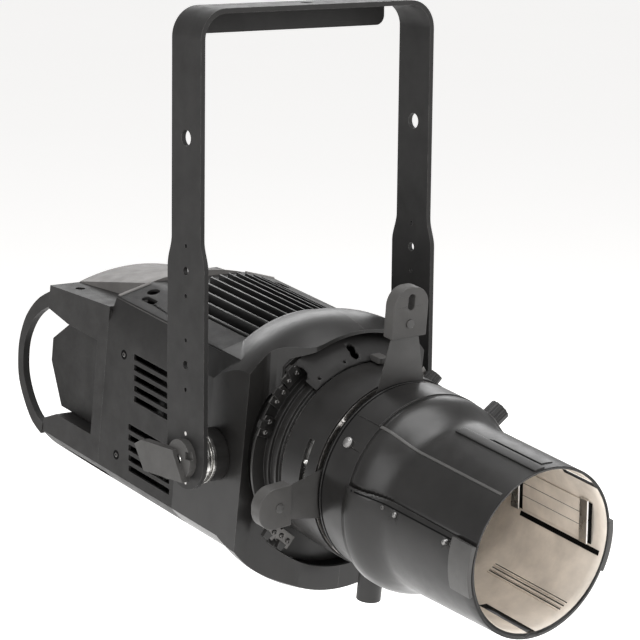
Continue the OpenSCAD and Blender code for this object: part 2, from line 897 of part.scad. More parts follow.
module rotation_lock_knob() {
    color(black) in_head() radial(180, lock_s) {
        translate([0, 0, ring_in + gap]) cylinder(d = stud_d - 2 * fit, h = 10);
        translate([0, 0, sleeve_r + 2]) cylinder(d = lock_d, h = lock_out - sleeve_r - 2);
    }
}

// Aperture plates either side of the four shutter planes, held apart by four posts
module shutter_frame() {
    color(steel) in_head() {
        difference() {
            union() {
                translate([0, 0, shutter_s]) cylinder(r = plate_r, h = plate_t);
                translate([0, 0, shutter_end]) cylinder(r = plate_r, h = plate_t);
                for (a = post_angles) at_clock(a) translate([0, post_at, shutter_s])
                    cylinder(d = post_d, h = shutter_end - shutter_s + plate_t);
            }
            translate([0, 0, shutter_s - e]) cylinder(d = gate_d, h = far);
        }
    }
}

module barrel_nose() {
    color(graphite) in_head() difference() {
        union() {
            ring(nose_r, nose_in, nose_rear, nose_front);
            ring(nose_r, 80, nose_rear, nose_rear + 3);
        }
        radial(focus_angle, focus_s) cylinder(d = focus_w, h = far);
        at_clock(focus_angle) translate([-focus_w / 2, 0, focus_s]) cube([focus_w, far, far]);
        for (angle = nose_screw_a) radial(angle, nose_screw_s) cylinder(d = 5, h = far);
    }
}

module nose_screws() {
    color(steel) in_head() for (angle = nose_screw_a) radial(angle, nose_screw_s) {
        translate([0, 0, nose_in + gap]) cylinder(d = 5 - 2 * fit, h = nose_r - nose_in);
        translate([0, 0, nose_r + fit]) intersection() {
            cylinder(d = 11, h = 4);
            translate([0, 0, -6]) sphere(r = 10);
        }
    }
}

// ---------- Shutters ----------

// Outline of a blade, y pointing outward, drawn pulled out
module blade_outline() {
    polygon([[-blade_w / 2, blade_tip], [-blade_w / 2, blade_shoulder],
        [-blade_base_w / 2, blade_base], [-blade_neck_w / 2, blade_neck],
        [-blade_neck_w / 2, blade_end], [blade_neck_w / 2, blade_end],
        [blade_neck_w / 2, blade_neck], [blade_base_w / 2, blade_base],
        [blade_w / 2, blade_shoulder], [blade_w / 2, blade_tip]]);
}

// Places a shutter at its clock angle, its plane in the stack and how far it is pushed in
module at_shutter(angle, plane, pushed) {
    at_clock(angle)
        translate([0, -pushed, shutter_s + plate_t + plane_gap + plane * (blade_t + plane_gap)])
            children();
}

// An oblong hole through the grip, along the pull
module oblong(d, at) {
    translate([-d / 2, at - 4]) square([d, 8]);
    for (y = [-4, 4]) translate([0, at + y]) circle(d = d);
}

module blade(angle, plane, pushed) {
    color(steel) in_head() at_shutter(angle, plane, pushed) {
        linear_extrude(blade_t) difference() {
            blade_outline();
            translate([0, rivet_at]) circle(d = rivet_d);
        }
        translate([0, rivet_at, (blade_t - grip_t) / 2 - rivet_head_t]) {
            cylinder(d = rivet_head, h = rivet_head_t);
            cylinder(d = rivet_d - 2 * fit, h = grip_t + 2 * rivet_head_t);
            translate([0, 0, grip_t + rivet_head_t]) cylinder(d = rivet_head, h = rivet_head_t);
        }
    }
}

module grip_outline(len) {
    corner = grip_w * 0.45;
    difference() {
        union() {
            translate([-grip_w / 2, grip_in]) square([grip_w, len - corner]);
            translate([corner - grip_w / 2, grip_in]) square([grip_w - 2 * corner, len]);
            for (side = [-1, 1])
                translate([side * (grip_w / 2 - corner), grip_in + len - corner]) circle(r = corner);
        }
        translate([0, rivet_at]) circle(d = rivet_d);
    }
}

// A moulded grip over the end of a blade, with a slot that the blade's end fills
module grip(angle, plane, pushed, len) {
    color(black) in_head() at_shutter(angle, plane, pushed) translate([0, 0, (blade_t - grip_t) / 2]) {
        difference() {
            linear_extrude(grip_t) difference() {
                grip_outline(len);
                if (len > grip_hole_at + 10 - grip_in) oblong(8, grip_hole_at);
            }
            translate([-blade_neck_w / 2, grip_in - e, (grip_t - blade_t) / 2])
                cube([blade_neck_w, blade_end - grip_in + e, blade_t]);
        }
    }
}

// ---------- Lens tube ----------

// Outer profile of a shell from its rear edge through the shoulder to the rim, r against s
function tube_outer(r) = concat([[r[0], tube_rear]],
    [for (i = [0:shoulder_steps]) let (t = i / shoulder_steps)
        [r[1] + (r[0] - r[1]) * (1 + cos(180 * t)) / 2, shoulder_s + (shoulder_end - shoulder_s) * t]],
    [[r[2], rim_s]]);

function tube_inner() = [for (i = [shoulder_steps:-1:0]) let (t = i / shoulder_steps)
    [tube_in + (seat_in - tube_in) * (1 + cos(180 * t)) / 2,
        shoulder_s + (shoulder_end - shoulder_s) * t]];

module tube_shell(outer) {
    rotate_extrude() polygon(concat(outer, [[0, rim_s], [0, tube_rear]]));
}

module tube_bore() {
    rotate_extrude() polygon(concat([[0, seat_rear - e], [0, rim_s + e], [tube_in, rim_s + e]],
        tube_inner(), [[seat_in, seat_rear - e]]));
}

// The lower shell is fuller than the upper one and hangs a little below the optical axis
module tube_half(upper) {
    color(charcoal) in_head() difference() {
        intersection() {
            union() {
                translate([0, 0, seat_rear]) cylinder(r = seat_r, h = tube_rear - seat_rear + e);
                if (upper) tube_shell(tube_outer([nose_r, tube_r, tube_r]));
                else translate([0, -lower_sag, 0]) tube_shell(tube_outer(lower_r));
            }
            translate([-far, upper ? split_h : split_h - 2 * far, 0]) cube([2 * far, 2 * far, 2 * far]);
        }
        tube_bore();
        for (slit = slits) at_clock(slit[0])
            translate([-slit_w / 2, 0, slit[1]]) cube([slit_w, far, slit_front - slit[1]]);
        if (!upper) tube_screw_set(5 + 2 * fit, 40);
        radial(focus_angle, focus_s) cylinder(d = focus_w - 0.4, h = far);
    }
}

module tube_screw_set(d, h) {
    for (side = [-1, 1]) for (s = tube_screw_s)
        translate([side * (tube_in - 4), split_h - 9, s]) rotate([0, 90 * side, 0]) cylinder(d = d, h = h);
}

module tube_screws() {
    color(steel) in_head() intersection() {
        tube_screw_set(5, 40);
        difference() {
            translate([0, -lower_sag, 0]) cylinder(r = lower_r[1] + 1, h = rim_s);
            cylinder(r = tube_in, h = far);
        }
    }
}

// Guides for gel frames, one on each side of the rim
module accessory_runners() {
    color(graphite) in_head() for (side = [0, 1]) mirror([side, 0, 0]) intersection() {
        difference() {
            ring(tube_r + runner_t + 1, tube_in, runner_rear, rim_s);
            translate([0, -lower_sag, 0]) tube_shell(tube_outer([for (r = lower_r) r + fit]));
        }
        wedge(2 * tube_r, pad_mid - pad_span, pad_mid + pad_span, runner_rear - e, rim_s + e);
    }
}

module lens_rings() {
    color(black) in_head() for (s = [171, 196])
        ring(seat_in - fit, 79, s, s + 3);
}

// Profile of a two-faced convex lens, r outward and s forward
function lens_face(r, t, edge, way) = [for (i = [0:lens_steps])
    let (a = r * (way > 0 ? lens_steps - i : i) / lens_steps)
    [a, t / 2 + way * (t / 2 - (t - edge) / 2 * a * a / (r * r))]];

module lens(r, s, t, edge) {
    translate([0, 0, s]) rotate_extrude()
        polygon(concat(lens_face(r, t, edge, -1), lens_face(r, t, edge, 1)));
}

module collector_lens() {
    color("#cfe0e4") in_head() lens(tunnel_r - 2 - fit, -8, 28, 6);
}

module front_lens() {
    color("#d5e3e6") in_head() lens(seat_in - 2, 176, 20, 5);
}

module rear_lens() {
    color("#d5e3e6") in_head() lens(seat_in - 2, 161, 10, 4);
}

module focus_knob() {
    color(black) in_head() radial(focus_angle, focus_s) {
        translate([0, 0, seat_in + gap]) cylinder(d = focus_w - 0.6, h = 12);
        translate([0, 0, nose_r + 1]) knurled(focus_d, focus_len, 4);
    }
}

yoke_bracket();
yoke_pads();
tilt_lever();
pivot_bolts();
friction_discs();
pivot_bosses();
chassis_frame();
side_cover(-1);  // side_cover_left
side_cover(1);  // side_cover_right
belly_cover();
top_deck();
cover_screws();
rear_cover();
exhaust_hood();
handle(-1);  // handle_left
handle(1);  // handle_right
control_housing();
control_display();
control_knob();
control_button(1);  // control_button_1
control_button(2);  // control_button_2
control_button(3);  // control_button_3
power_sockets();
data_sockets();
power_supply();
heat_sink();
led_module();
light_tunnel();
collector_lens();
fan_frame();
fan_rotor();
bell_half(-1);  // bell_left
bell_half(1);  // bell_right
gate_housing();
rotation_sleeve();
slot_cover();
slot_knob();
barrel_sleeve();
shutter_frame();
barrel_nose();
nose_screws();
rotation_lock_knob();
blade(top_angle, 0, 0);  // shutter_top_blade
grip(top_angle, 0, 0, grip_long);  // shutter_top_handle
blade(bottom_angle, 3, shutter_travel);  // shutter_bottom_blade
grip(bottom_angle, 3, shutter_travel, grip_short);  // shutter_bottom_handle
blade(left_angle, 2, left_rest);  // shutter_left_blade
grip(left_angle, 2, left_rest, grip_short);  // shutter_left_handle
blade(right_angle, 1, shutter_travel);  // shutter_right_blade
grip(right_angle, 1, shutter_travel, grip_short);  // shutter_right_handle
tube_half(true);  // lens_tube_upper
tube_half(false);  // lens_tube_lower
tube_screws();
accessory_runners();
lens_rings();
front_lens();
rear_lens();
focus_knob();
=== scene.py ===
# Looks for the ellipsoidal spotlight: materials, fine hardware, seams and liners around the CAD frame.
import json
from math import cos, pi, radians, sin

import bmesh
import bpy
from mathutils import Matrix, Vector


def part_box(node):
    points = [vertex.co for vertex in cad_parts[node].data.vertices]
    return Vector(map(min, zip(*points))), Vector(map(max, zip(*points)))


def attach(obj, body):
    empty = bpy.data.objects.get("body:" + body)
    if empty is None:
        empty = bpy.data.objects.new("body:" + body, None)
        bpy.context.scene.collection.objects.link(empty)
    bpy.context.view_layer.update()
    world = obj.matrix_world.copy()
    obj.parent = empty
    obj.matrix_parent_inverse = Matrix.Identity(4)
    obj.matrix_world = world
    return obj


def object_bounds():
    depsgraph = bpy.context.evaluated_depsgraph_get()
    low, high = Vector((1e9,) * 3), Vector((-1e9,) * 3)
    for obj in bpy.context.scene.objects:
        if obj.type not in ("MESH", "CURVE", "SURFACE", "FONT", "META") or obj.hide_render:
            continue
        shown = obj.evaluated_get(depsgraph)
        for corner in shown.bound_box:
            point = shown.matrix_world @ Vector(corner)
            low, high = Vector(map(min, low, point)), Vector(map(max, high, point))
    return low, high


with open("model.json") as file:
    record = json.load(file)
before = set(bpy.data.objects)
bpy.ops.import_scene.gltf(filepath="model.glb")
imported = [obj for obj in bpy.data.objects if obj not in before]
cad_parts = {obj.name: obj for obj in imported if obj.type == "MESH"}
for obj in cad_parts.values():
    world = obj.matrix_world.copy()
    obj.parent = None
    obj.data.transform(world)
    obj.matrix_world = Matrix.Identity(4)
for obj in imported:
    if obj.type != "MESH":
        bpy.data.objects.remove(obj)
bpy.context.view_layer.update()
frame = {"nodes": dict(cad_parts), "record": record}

nodes = frame["nodes"]
joints = {j["name"]: j for j in frame["record"]["behaviour"]["joints"]}
MM = 0.001

# ---------- The head's own axes: x across, h up from the optical axis, s forward along the beam ----------

AXIS_POINT_S = 120 * MM
ACROSS = Vector((1, 0, 0))
BEAM = Vector(joints["barrel_rotation"]["axis"]).normalized()
UP = BEAM.cross(ACROSS)
AXIS_ORIGIN = Vector(joints["barrel_rotation"]["pos_m"]) - BEAM * AXIS_POINT_S
PIVOT = Vector(joints["head_tilt"]["pos_m"])


def head(x, h, s):
    """A point of the head, from millimetres."""
    return AXIS_ORIGIN + (ACROSS * x + UP * h + BEAM * s) * MM


def clock(angle):
    """Unit vector out of the optical axis at a clock angle in degrees, 0 up and 90 towards +X."""
    return ACROSS * sin(radians(angle)) + UP * cos(radians(angle))


def around(angle):
    """Unit vector along the circle at a clock angle."""
    return ACROSS * cos(radians(angle)) - UP * sin(radians(angle))


def polar(angle, r, s, sag=0):
    return AXIS_ORIGIN + (clock(angle) * r + BEAM * s - UP * sag) * MM


# ---------- Materials ----------


class Shader:
    """A small helper that adds and links nodes of one material."""

    def __init__(self, name):
        self.material = bpy.data.materials.new(name)
        self.material.use_nodes = True
        self.tree = self.material.node_tree
        self.surface = self.tree.nodes["Principled BSDF"]
        coords = self.tree.nodes.new("ShaderNodeTexCoord")
        self.place = coords.outputs["Object"]

    def node(self, kind, **values):
        made = self.tree.nodes.new(kind)
        for key, value in values.items():
            if hasattr(made, key):
                setattr(made, key, value)
            else:
                made.inputs[key.replace("_", " ")].default_value = value
        return made

    def link(self, out, socket):
        self.tree.links.new(out, socket)

    def noise(self, scale, detail=3.0, stretch=None):
        made = self.node("ShaderNodeTexNoise", Scale=scale, Detail=detail, Roughness=0.6)
        if stretch:
            mapping = self.node("ShaderNodeMapping", Scale=stretch)
            self.link(self.place, mapping.inputs["Vector"])
            self.link(mapping.outputs["Vector"], made.inputs["Vector"])
        else:
            self.link(self.place, made.inputs["Vector"])
        return made.outputs["Fac"]

    def span(self, value, low, high, start=0.3, end=0.7):
        made = self.node("ShaderNodeMapRange")
        made.inputs["From Min"].default_value = start
        made.inputs["From Max"].default_value = end
        made.inputs["To Min"].default_value = low
        made.inputs["To Max"].default_value = high
        self.link(value, made.inputs["Value"])
        return made.outputs["Result"]

    def blend(self, factor, dark, light):
        made = self.node("ShaderNodeMix", data_type="RGBA")
        self.link(factor, made.inputs["Factor"])
        for socket, value in ((made.inputs["A"], dark), (made.inputs["B"], light)):
            if isinstance(value, tuple):
                socket.default_value = (*value, 1)
            else:
                self.link(value, socket)
        return made.outputs["Result"]

    def edges(self, radius):
        """A mask that is 1 on corners, for rubbed paint together with a painted highlight line, from how far a
        rounded normal leans from the face's own.
        """
        rounded = self.node("ShaderNodeBevel", samples=4, Radius=radius)
        face = self.node("ShaderNodeNewGeometry")
        dot = self.node("ShaderNodeVectorMath", operation="DOT_PRODUCT")
        self.link(rounded.outputs["Normal"], dot.inputs[0])
        self.link(face.outputs["Normal"], dot.inputs[1])
        return self.span(dot.outputs["Value"], 1, 0, 0.80, 0.97)

    def bump(self, height, strength, distance):
        made = self.node("ShaderNodeBump", Strength=strength, Distance=distance)
        self.link(height, made.inputs["Height"])
        self.link(made.outputs["Normal"], self.surface.inputs["Normal"])


def scaled(colour, k):
    return tuple(min(1.0, c * k) for c in colour)


def coated(name, colour, rough, grain=700, depth=0.00012, edge_wear_and_highlight_colour=(0.2, 0.195, 0.19), edge_wear_and_highlight_amount=0.6,
           specular=0.4, stretch=None):
    """Paint, powder coat or moulded plastic: fine texture, faint mottling and corners lightened for rubbed paint
    and a painted highlight line.
    """
    m = Shader(name)
    tone = m.span(m.noise(26, 4), 0, 1)
    base = m.blend(tone, scaled(colour, 0.82), scaled(colour, 1.2))
    # Corners blend to a lighter colour: partly rubbed paint, partly a painted highlight along the edges.
    edge_wear_and_highlight_mask = m.node("ShaderNodeMath", operation="MULTIPLY")
    m.link(m.edges(0.0007), edge_wear_and_highlight_mask.inputs[0])
    m.link(m.span(m.noise(180, 2), 0.15 * edge_wear_and_highlight_amount, edge_wear_and_highlight_amount, 0.35, 0.65), edge_wear_and_highlight_mask.inputs[1])
    m.link(m.blend(edge_wear_and_highlight_mask.outputs[0], base, edge_wear_and_highlight_colour), m.surface.inputs["Base Color"])
    m.link(m.span(m.noise(60, 3), rough * 0.86, rough * 1.14), m.surface.inputs["Roughness"])
    m.surface.inputs["Specular IOR Level"].default_value = specular
    m.bump(m.noise(grain, 2, stretch), 0.35, depth)
    return m.material


def metal(name, colour, rough, stretch=(1, 1, 1), grain=900, depth=0.00006):
    """Bare metal with a drawn or turned grain and a few dull patches."""
    m = Shader(name)
    tone = m.span(m.noise(40, 4), 0, 1)
    m.link(m.blend(tone, scaled(colour, 0.78), scaled(colour, 1.1)), m.surface.inputs["Base Color"])
    m.link(m.span(m.noise(120, 3, stretch), rough * 0.75, rough * 1.3), m.surface.inputs["Roughness"])
    m.surface.inputs["Metallic"].default_value = 1
    m.bump(m.noise(grain, 2, stretch), 0.3, depth)
    return m.material


def glass(name, colour, rough=0.02):
    m = Shader(name)
    m.link(m.blend(m.noise(9, 2), scaled(colour, 0.96), colour), m.surface.inputs["Base Color"])
    m.link(m.span(m.noise(30, 2), rough, rough * 3), m.surface.inputs["Roughness"])
    m.surface.inputs["Transmission Weight"].default_value = 1
    m.surface.inputs["IOR"].default_value = 1.5
    return m.material


paint = {
    "yoke_paint": coated("yoke_paint", (0.02, 0.0193, 0.0189), 0.5, grain=1500, depth=0.0001,
                         specular=0.22),
    "cover_paint": coated("cover_paint", (0.018, 0.0172, 0.0168), 0.5, grain=1300, depth=0.0001,
                          specular=0.2),
    "cast_black": coated("cast_black", (0.014, 0.0133, 0.0128), 0.33, grain=1100, depth=0.00008,
                         specular=0.36),
    "moulding": coated("moulding", (0.019, 0.0181, 0.0176), 0.52, grain=2000, depth=0.00014, edge_wear_and_highlight_amount=0.35,
                       specular=0.22),
    # The hood moulding is lifted to a light grey, partly as a painted highlight for the light falling on the
    # hood's top.
    "hood_moulding": coated("hood_moulding", (0.15, 0.143, 0.138), 0.55, grain=2000, depth=0.00012,
                            edge_wear_and_highlight_colour=(0.3, 0.29, 0.28), edge_wear_and_highlight_amount=0.3, specular=0.25),
    "knob_plastic": coated("knob_plastic", (0.02, 0.0192, 0.0188), 0.45, grain=2200, depth=0.00014, edge_wear_and_highlight_amount=0.4),
    "grip_plastic": coated("grip_plastic", (0.05, 0.048, 0.046), 0.5, grain=2200, depth=0.00014, edge_wear_and_highlight_amount=0.5),
    "shadow_gap": coated("shadow_gap", (0.002, 0.002, 0.002), 0.8, edge_wear_and_highlight_amount=0, specular=0.1),
    "display_glass": coated("display_glass", (0.004, 0.006, 0.008), 0.08, depth=0.00001, edge_wear_and_highlight_amount=0.1),
    "button_plastic": coated("button_plastic", (0.16, 0.158, 0.155), 0.45, grain=2400),
    "socket_blue": coated("socket_blue", (0.02, 0.07, 0.22), 0.42, grain=2400),
    "blade_coated": coated("blade_coated", (0.045, 0.0435, 0.042), 0.42, grain=1500, depth=0.00006,
                           edge_wear_and_highlight_colour=(0.3, 0.29, 0.28), edge_wear_and_highlight_amount=0.8, specular=0.5),
    "pad_casting": coated("pad_casting", (0.06, 0.058, 0.056), 0.42, grain=1500, depth=0.0001, edge_wear_and_highlight_amount=0.5),
    "bright_strip": coated("bright_strip", (0.85, 0.83, 0.8), 0.4, grain=800, depth=0.00005,
                           edge_wear_and_highlight_colour=(0.9, 0.88, 0.85), edge_wear_and_highlight_amount=0.3),
    "bright_steel": metal("bright_steel", (0.6, 0.59, 0.57), 0.24),
    "dull_steel": metal("dull_steel", (0.3, 0.295, 0.29), 0.5),
    "dark_steel": metal("dark_steel", (0.13, 0.126, 0.122), 0.36),
    "blade_steel": metal("blade_steel", (0.4, 0.385, 0.37), 0.34, stretch=(1, 1, 9)),
    "black_anodised": coated("black_anodised", (0.012, 0.0118, 0.0116), 0.4, grain=900, stretch=(9, 0.6, 9),
                             edge_wear_and_highlight_colour=(0.34, 0.33, 0.32), edge_wear_and_highlight_amount=0.9, specular=0.5),
    "bare_aluminium": metal("bare_aluminium", (0.74, 0.73, 0.71), 0.3),
    "warm_liner": coated("warm_liner", (0.78, 0.71, 0.63), 0.42, grain=500, depth=0.00012,
                         edge_wear_and_highlight_colour=(0.82, 0.76, 0.68), edge_wear_and_highlight_amount=0.3, specular=0.5),
    "led_phosphor": coated("led_phosphor", (0.7, 0.56, 0.1), 0.35, grain=400),
    "fan_plastic": coated("fan_plastic", (0.014, 0.0138, 0.0135), 0.42),
    "lens_glass": glass("lens_glass", (0.93, 0.97, 0.98)),
}
OWN_LOOK = {"exhaust_hood": "hood_moulding", "shutter_top_handle": "grip_plastic",
            "shutter_left_handle": "grip_plastic", "shutter_right_handle": "grip_plastic",
            "shutter_bottom_handle": "grip_plastic", "slot_cover": "cover_paint", "tilt_lever": "grip_plastic",
            "shutter_top_blade": "blade_coated", "shutter_bottom_blade": "blade_coated",
            "shutter_left_blade": "blade_coated", "shutter_right_blade": "blade_coated",
            "accessory_runners": "pad_casting", "nose_screws": "dull_steel",
            "tube_screws": "dull_steel"}
slot_of = {p["node"]: p["material_slot"] for p in frame["record"]["subparts"]}
ROUNDING = {"yoke_bracket": 0.7, "tilt_lever": 1.0, "pivot_bosses": 0.8, "friction_discs": 0.4,
            "yoke_pads": 0.4, "control_housing": 1.2, "control_knob": 0.5, "handle_left": 1.4,
            "handle_right": 1.4, "bell_left": 0.8, "bell_right": 0.8, "gate_housing": 0.4,
            "barrel_sleeve": 0.5, "barrel_nose": 0.5, "rotation_lock_knob": 1.0, "slot_knob": 0.3,
            "focus_knob": 0.4, "shutter_top_handle": 1.6, "shutter_bottom_handle": 1.6,
            "shutter_left_handle": 1.6, "shutter_right_handle": 1.6, "accessory_runners": 0.6,
            "rear_cover": 1.0, "side_cover_left": 0.3, "side_cover_right": 0.3, "belly_cover": 0.5,
            "top_deck": 0.6, "exhaust_hood": 0.8}


def finish_node(obj, look, rounding):
    obj.data.materials.clear()
    obj.data.materials.append(paint[look])
    if "custom_normal" in obj.data.attributes:
        obj.data.attributes.remove(obj.data.attributes["custom_normal"])
    for face in obj.data.polygons:
        face.use_smooth = True
    weld = obj.modifiers.new("weld", "WELD")
    weld.merge_threshold = 0.000002
    if rounding:
        bevel = obj.modifiers.new("rounding", "BEVEL")
        bevel.width = rounding * MM
        bevel.segments = 2
        bevel.limit_method = "ANGLE"
        bevel.angle_limit = radians(38)
    normals = obj.modifiers.new("normals", "WEIGHTED_NORMAL")
    normals.keep_sharp = True
    normals.weight = 80


for name, obj in nodes.items():
    finish_node(obj, OWN_LOOK.get(name, slot_of[name]), ROUNDING.get(name))

# ---------- Mesh tools ----------


def piece(name, verts, faces, look, body, rounding=0.0):
    """A new mesh piece that rides on a body and takes its finish from a material slot."""
    mesh = bpy.data.meshes.new(name)
    mesh.from_pydata([tuple(v) for v in verts], [], faces)
    work = bmesh.new()
    work.from_mesh(mesh)
    bmesh.ops.recalc_face_normals(work, faces=work.faces)
    work.to_mesh(mesh)
    work.free()
    for face in mesh.polygons:
        face.use_smooth = True
    mesh.materials.append(paint[look])
    obj = bpy.data.objects.new(name, mesh)
    bpy.context.scene.collection.objects.link(obj)
    if rounding:
        bevel = obj.modifiers.new("rounding", "BEVEL")
        bevel.width = rounding * MM
        bevel.segments = 2
        bevel.limit_method = "ANGLE"
        bevel.angle_limit = radians(35)
    normals = obj.modifiers.new("normals", "WEIGHTED_NORMAL")
    normals.weight = 80
    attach(obj, body)
    return obj


def loft(rings):
    """Vertices and faces of a closed solid through rings of equal length."""
    n = len(rings[0])
    verts = [p for ring in rings for p in ring]
    faces = []
    for i in range(len(rings) - 1):
        for k in range(n):
            a, b = i * n + k, i * n + (k + 1) % n
            faces.append((a, b, b + n, a + n))
    faces.append(tuple(range(n))[::-1])
    faces.append(tuple(range((len(rings) - 1) * n, len(rings) * n)))
    return verts, faces


def value_at(size, s):
    return size(s) if callable(size) else size


def curved_plate(name, look, body, inner, outer, angles, reach, sag=0, rounding=0.3, steps=None,
                 stations=None):
    """A plate bent round the optical axis, between two radii that may change along the beam."""
    a0, a1 = angles
    turns = steps or max(2, round(abs(a1 - a0) / 4))
    places = stations or ([reach[0], reach[1]] if not callable(outer) else
                          [reach[0] + (reach[1] - reach[0]) * i / 12 for i in range(13)])
    rings = []
    for s in places:
        swing = [a0 + (a1 - a0) * i / turns for i in range(turns + 1)]
        top = [polar(a, value_at(outer, s), s, sag) for a in swing]
        low = [polar(a, value_at(inner, s), s, sag) for a in reversed(swing)]
        rings.append(top + low)
    verts, faces = loft(rings)
    return piece(name, verts, faces, look, body, rounding=rounding)


def full_ring(name, look, body, inner, outer, reach, rounding=0.0):
    """A complete ring round the optical axis."""
    steps = 96
    verts, faces = [], []
    corners = [(inner, reach[0]), (outer, reach[0]), (outer, reach[1]), (inner, reach[1])]
    for i in range(steps):
        verts += [polar(360 * i / steps, r, s) for r, s in corners]
    for i in range(steps):
        for k in range(4):
            a, b = i * 4 + k, i * 4 + (k + 1) % 4
            c, d = ((i + 1) % steps) * 4 + (k + 1) % 4, ((i + 1) % steps) * 4 + k
            faces.append((a, b, c, d))
    return piece(name, verts, faces, look, body, rounding=rounding)


def slab(name, look, body, outline, origin, along, up, thick, rounding=0.4):
    """A flat outline in millimetres on a plane, given a thickness out of that plane."""
    out = along.cross(up).normalized()
    low = [origin + (along * x + up * y) * MM for x, y in outline]
    high = [p + out * thick * MM for p in low]
    verts, faces = loft([low, high])
    return piece(name, verts, faces, look, body, rounding=rounding)


def frame_of(direction):
    """Two unit vectors square to a direction."""
    d = direction.normalized()
    side = d.cross(Vector((0, 0, 1)))
    if side.length < 0.1:
        side = d.cross(Vector((0, 1, 0)))
    side.normalize()
    return side, d.cross(side)


def turned(profile, origin, direction, n=28, recess=None):
    """A turned form from (radius, height) steps; recess gives a hexagonal socket's radius and depth."""
    side, other = frame_of(direction)
    axis = direction.normalized()

    def ring(radius, height, hexed=False):
        points = []
        for i in range(n):
            a = 2 * pi * i / n
            k = cos(pi / 6) / cos((a % (pi / 3)) - pi / 6) if hexed else 1
            points.append(origin + (side * cos(a) * radius * k + other * sin(a) * radius * k
                                    + axis * height) * MM)
        return points

    rings = [ring(r, z) for r, z in profile]
    if recess:
        top = profile[-1][1]
        rings += [ring(recess[0], top, True), ring(recess[0], top - recess[1], True)]
    return loft(rings)


def turned_piece(name, look, body, profile, origin, direction):
    verts, faces = turned(profile, origin, direction)
    return piece(name, verts, faces, look, body)


def screw_set(name, look, body, places, d, rise=0.35, socket=0.28):
    """Dome-headed screws with hexagonal sockets as one piece; places are (origin, direction)."""
    verts, faces = [], []
    r = d / 2
    profile = [(r * 0.9, -rise * d * 0.3), (r, 0), (r * 0.97, rise * d * 0.45), (r * 0.8, rise * d * 0.8),
               (r * 0.55, rise * d)]
    for origin, direction in places:
        v, f = turned(profile, origin, direction, 24, (d * socket, rise * d * 0.7))
        faces += [tuple(i + len(verts) for i in face) for face in f]
        verts += v
    return piece(name, verts, faces, look, body)


# ---------- Sizes read from the frame ----------


def forward(node):
    """The node's lowest and highest forward position, in millimetres."""
    found = [((v.co - AXIS_ORIGIN).dot(BEAM)) / MM for v in nodes[node].data.vertices]
    return min(found), max(found)


def reach_out(node, low=-1e9, high=1e9):
    """The node's largest radius about the optical axis between two forward positions, in millimetres."""
    best = 0
    for v in nodes[node].data.vertices:
        rel = v.co - AXIS_ORIGIN
        s = rel.dot(BEAM) / MM
        if low <= s <= high:
            best = max(best, (rel - BEAM * rel.dot(BEAM)).length / MM)
    return best


TUBE_REAR, RIM = 199.6, forward("lens_tube_upper")[1]
TUBE_R = reach_out("lens_tube_upper", RIM - 1)
NOSE_R = reach_out("barrel_nose")
SLEEVE_R = reach_out("barrel_sleeve")
NOSE_REAR, NOSE_FRONT = forward("barrel_nose")
SHOULDER = (206, 252)
LOWER_SAG = 3
LOWER_R = (101, 88, 84)
TUBE_WALL = 2.6


def shoulder(s, wide, narrow):
    t = min(1, max(0, (s - SHOULDER[0]) / (SHOULDER[1] - SHOULDER[0])))
    return narrow + (wide - narrow) * (1 + cos(pi * t)) / 2


def upper_skin(s):
    return shoulder(s, NOSE_R, TUBE_R)


def lower_skin(s):
    if s < SHOULDER[1]:
        return shoulder(s, LOWER_R[0], LOWER_R[1])
    t = (s - SHOULDER[1]) / (RIM - SHOULDER[1])
    return LOWER_R[1] + (LOWER_R[2] - LOWER_R[1]) * t


# ---------- Lens tube ----------

RIDGE_ANGLES = (-41, 41)
BORE_REAR = 88
LINER_REAR = 201
UPPER_SLIT, SLIT_HALF = 45, 3.6
UPPER_SLIT_REAR, LOWER_SLIT_REAR = 327.5, 302.5
# Liner plates with the two light slits left open, as (from angle, to angle, rear, front)
LINER_PLATES = ((-180 + SLIT_HALF, UPPER_SLIT - SLIT_HALF, LINER_REAR, RIM - 0.8),
                (UPPER_SLIT + SLIT_HALF, 180 - SLIT_HALF, LINER_REAR, RIM - 0.8),
                (UPPER_SLIT - SLIT_HALF, UPPER_SLIT + SLIT_HALF, LINER_REAR, UPPER_SLIT_REAR),
                (180 - SLIT_HALF, 180 + SLIT_HALF, LINER_REAR, LOWER_SLIT_REAR))
JOINT_ANGLE = 79


def inner_bore(s):
    return shoulder(s, BORE_REAR, TUBE_R - TUBE_WALL)


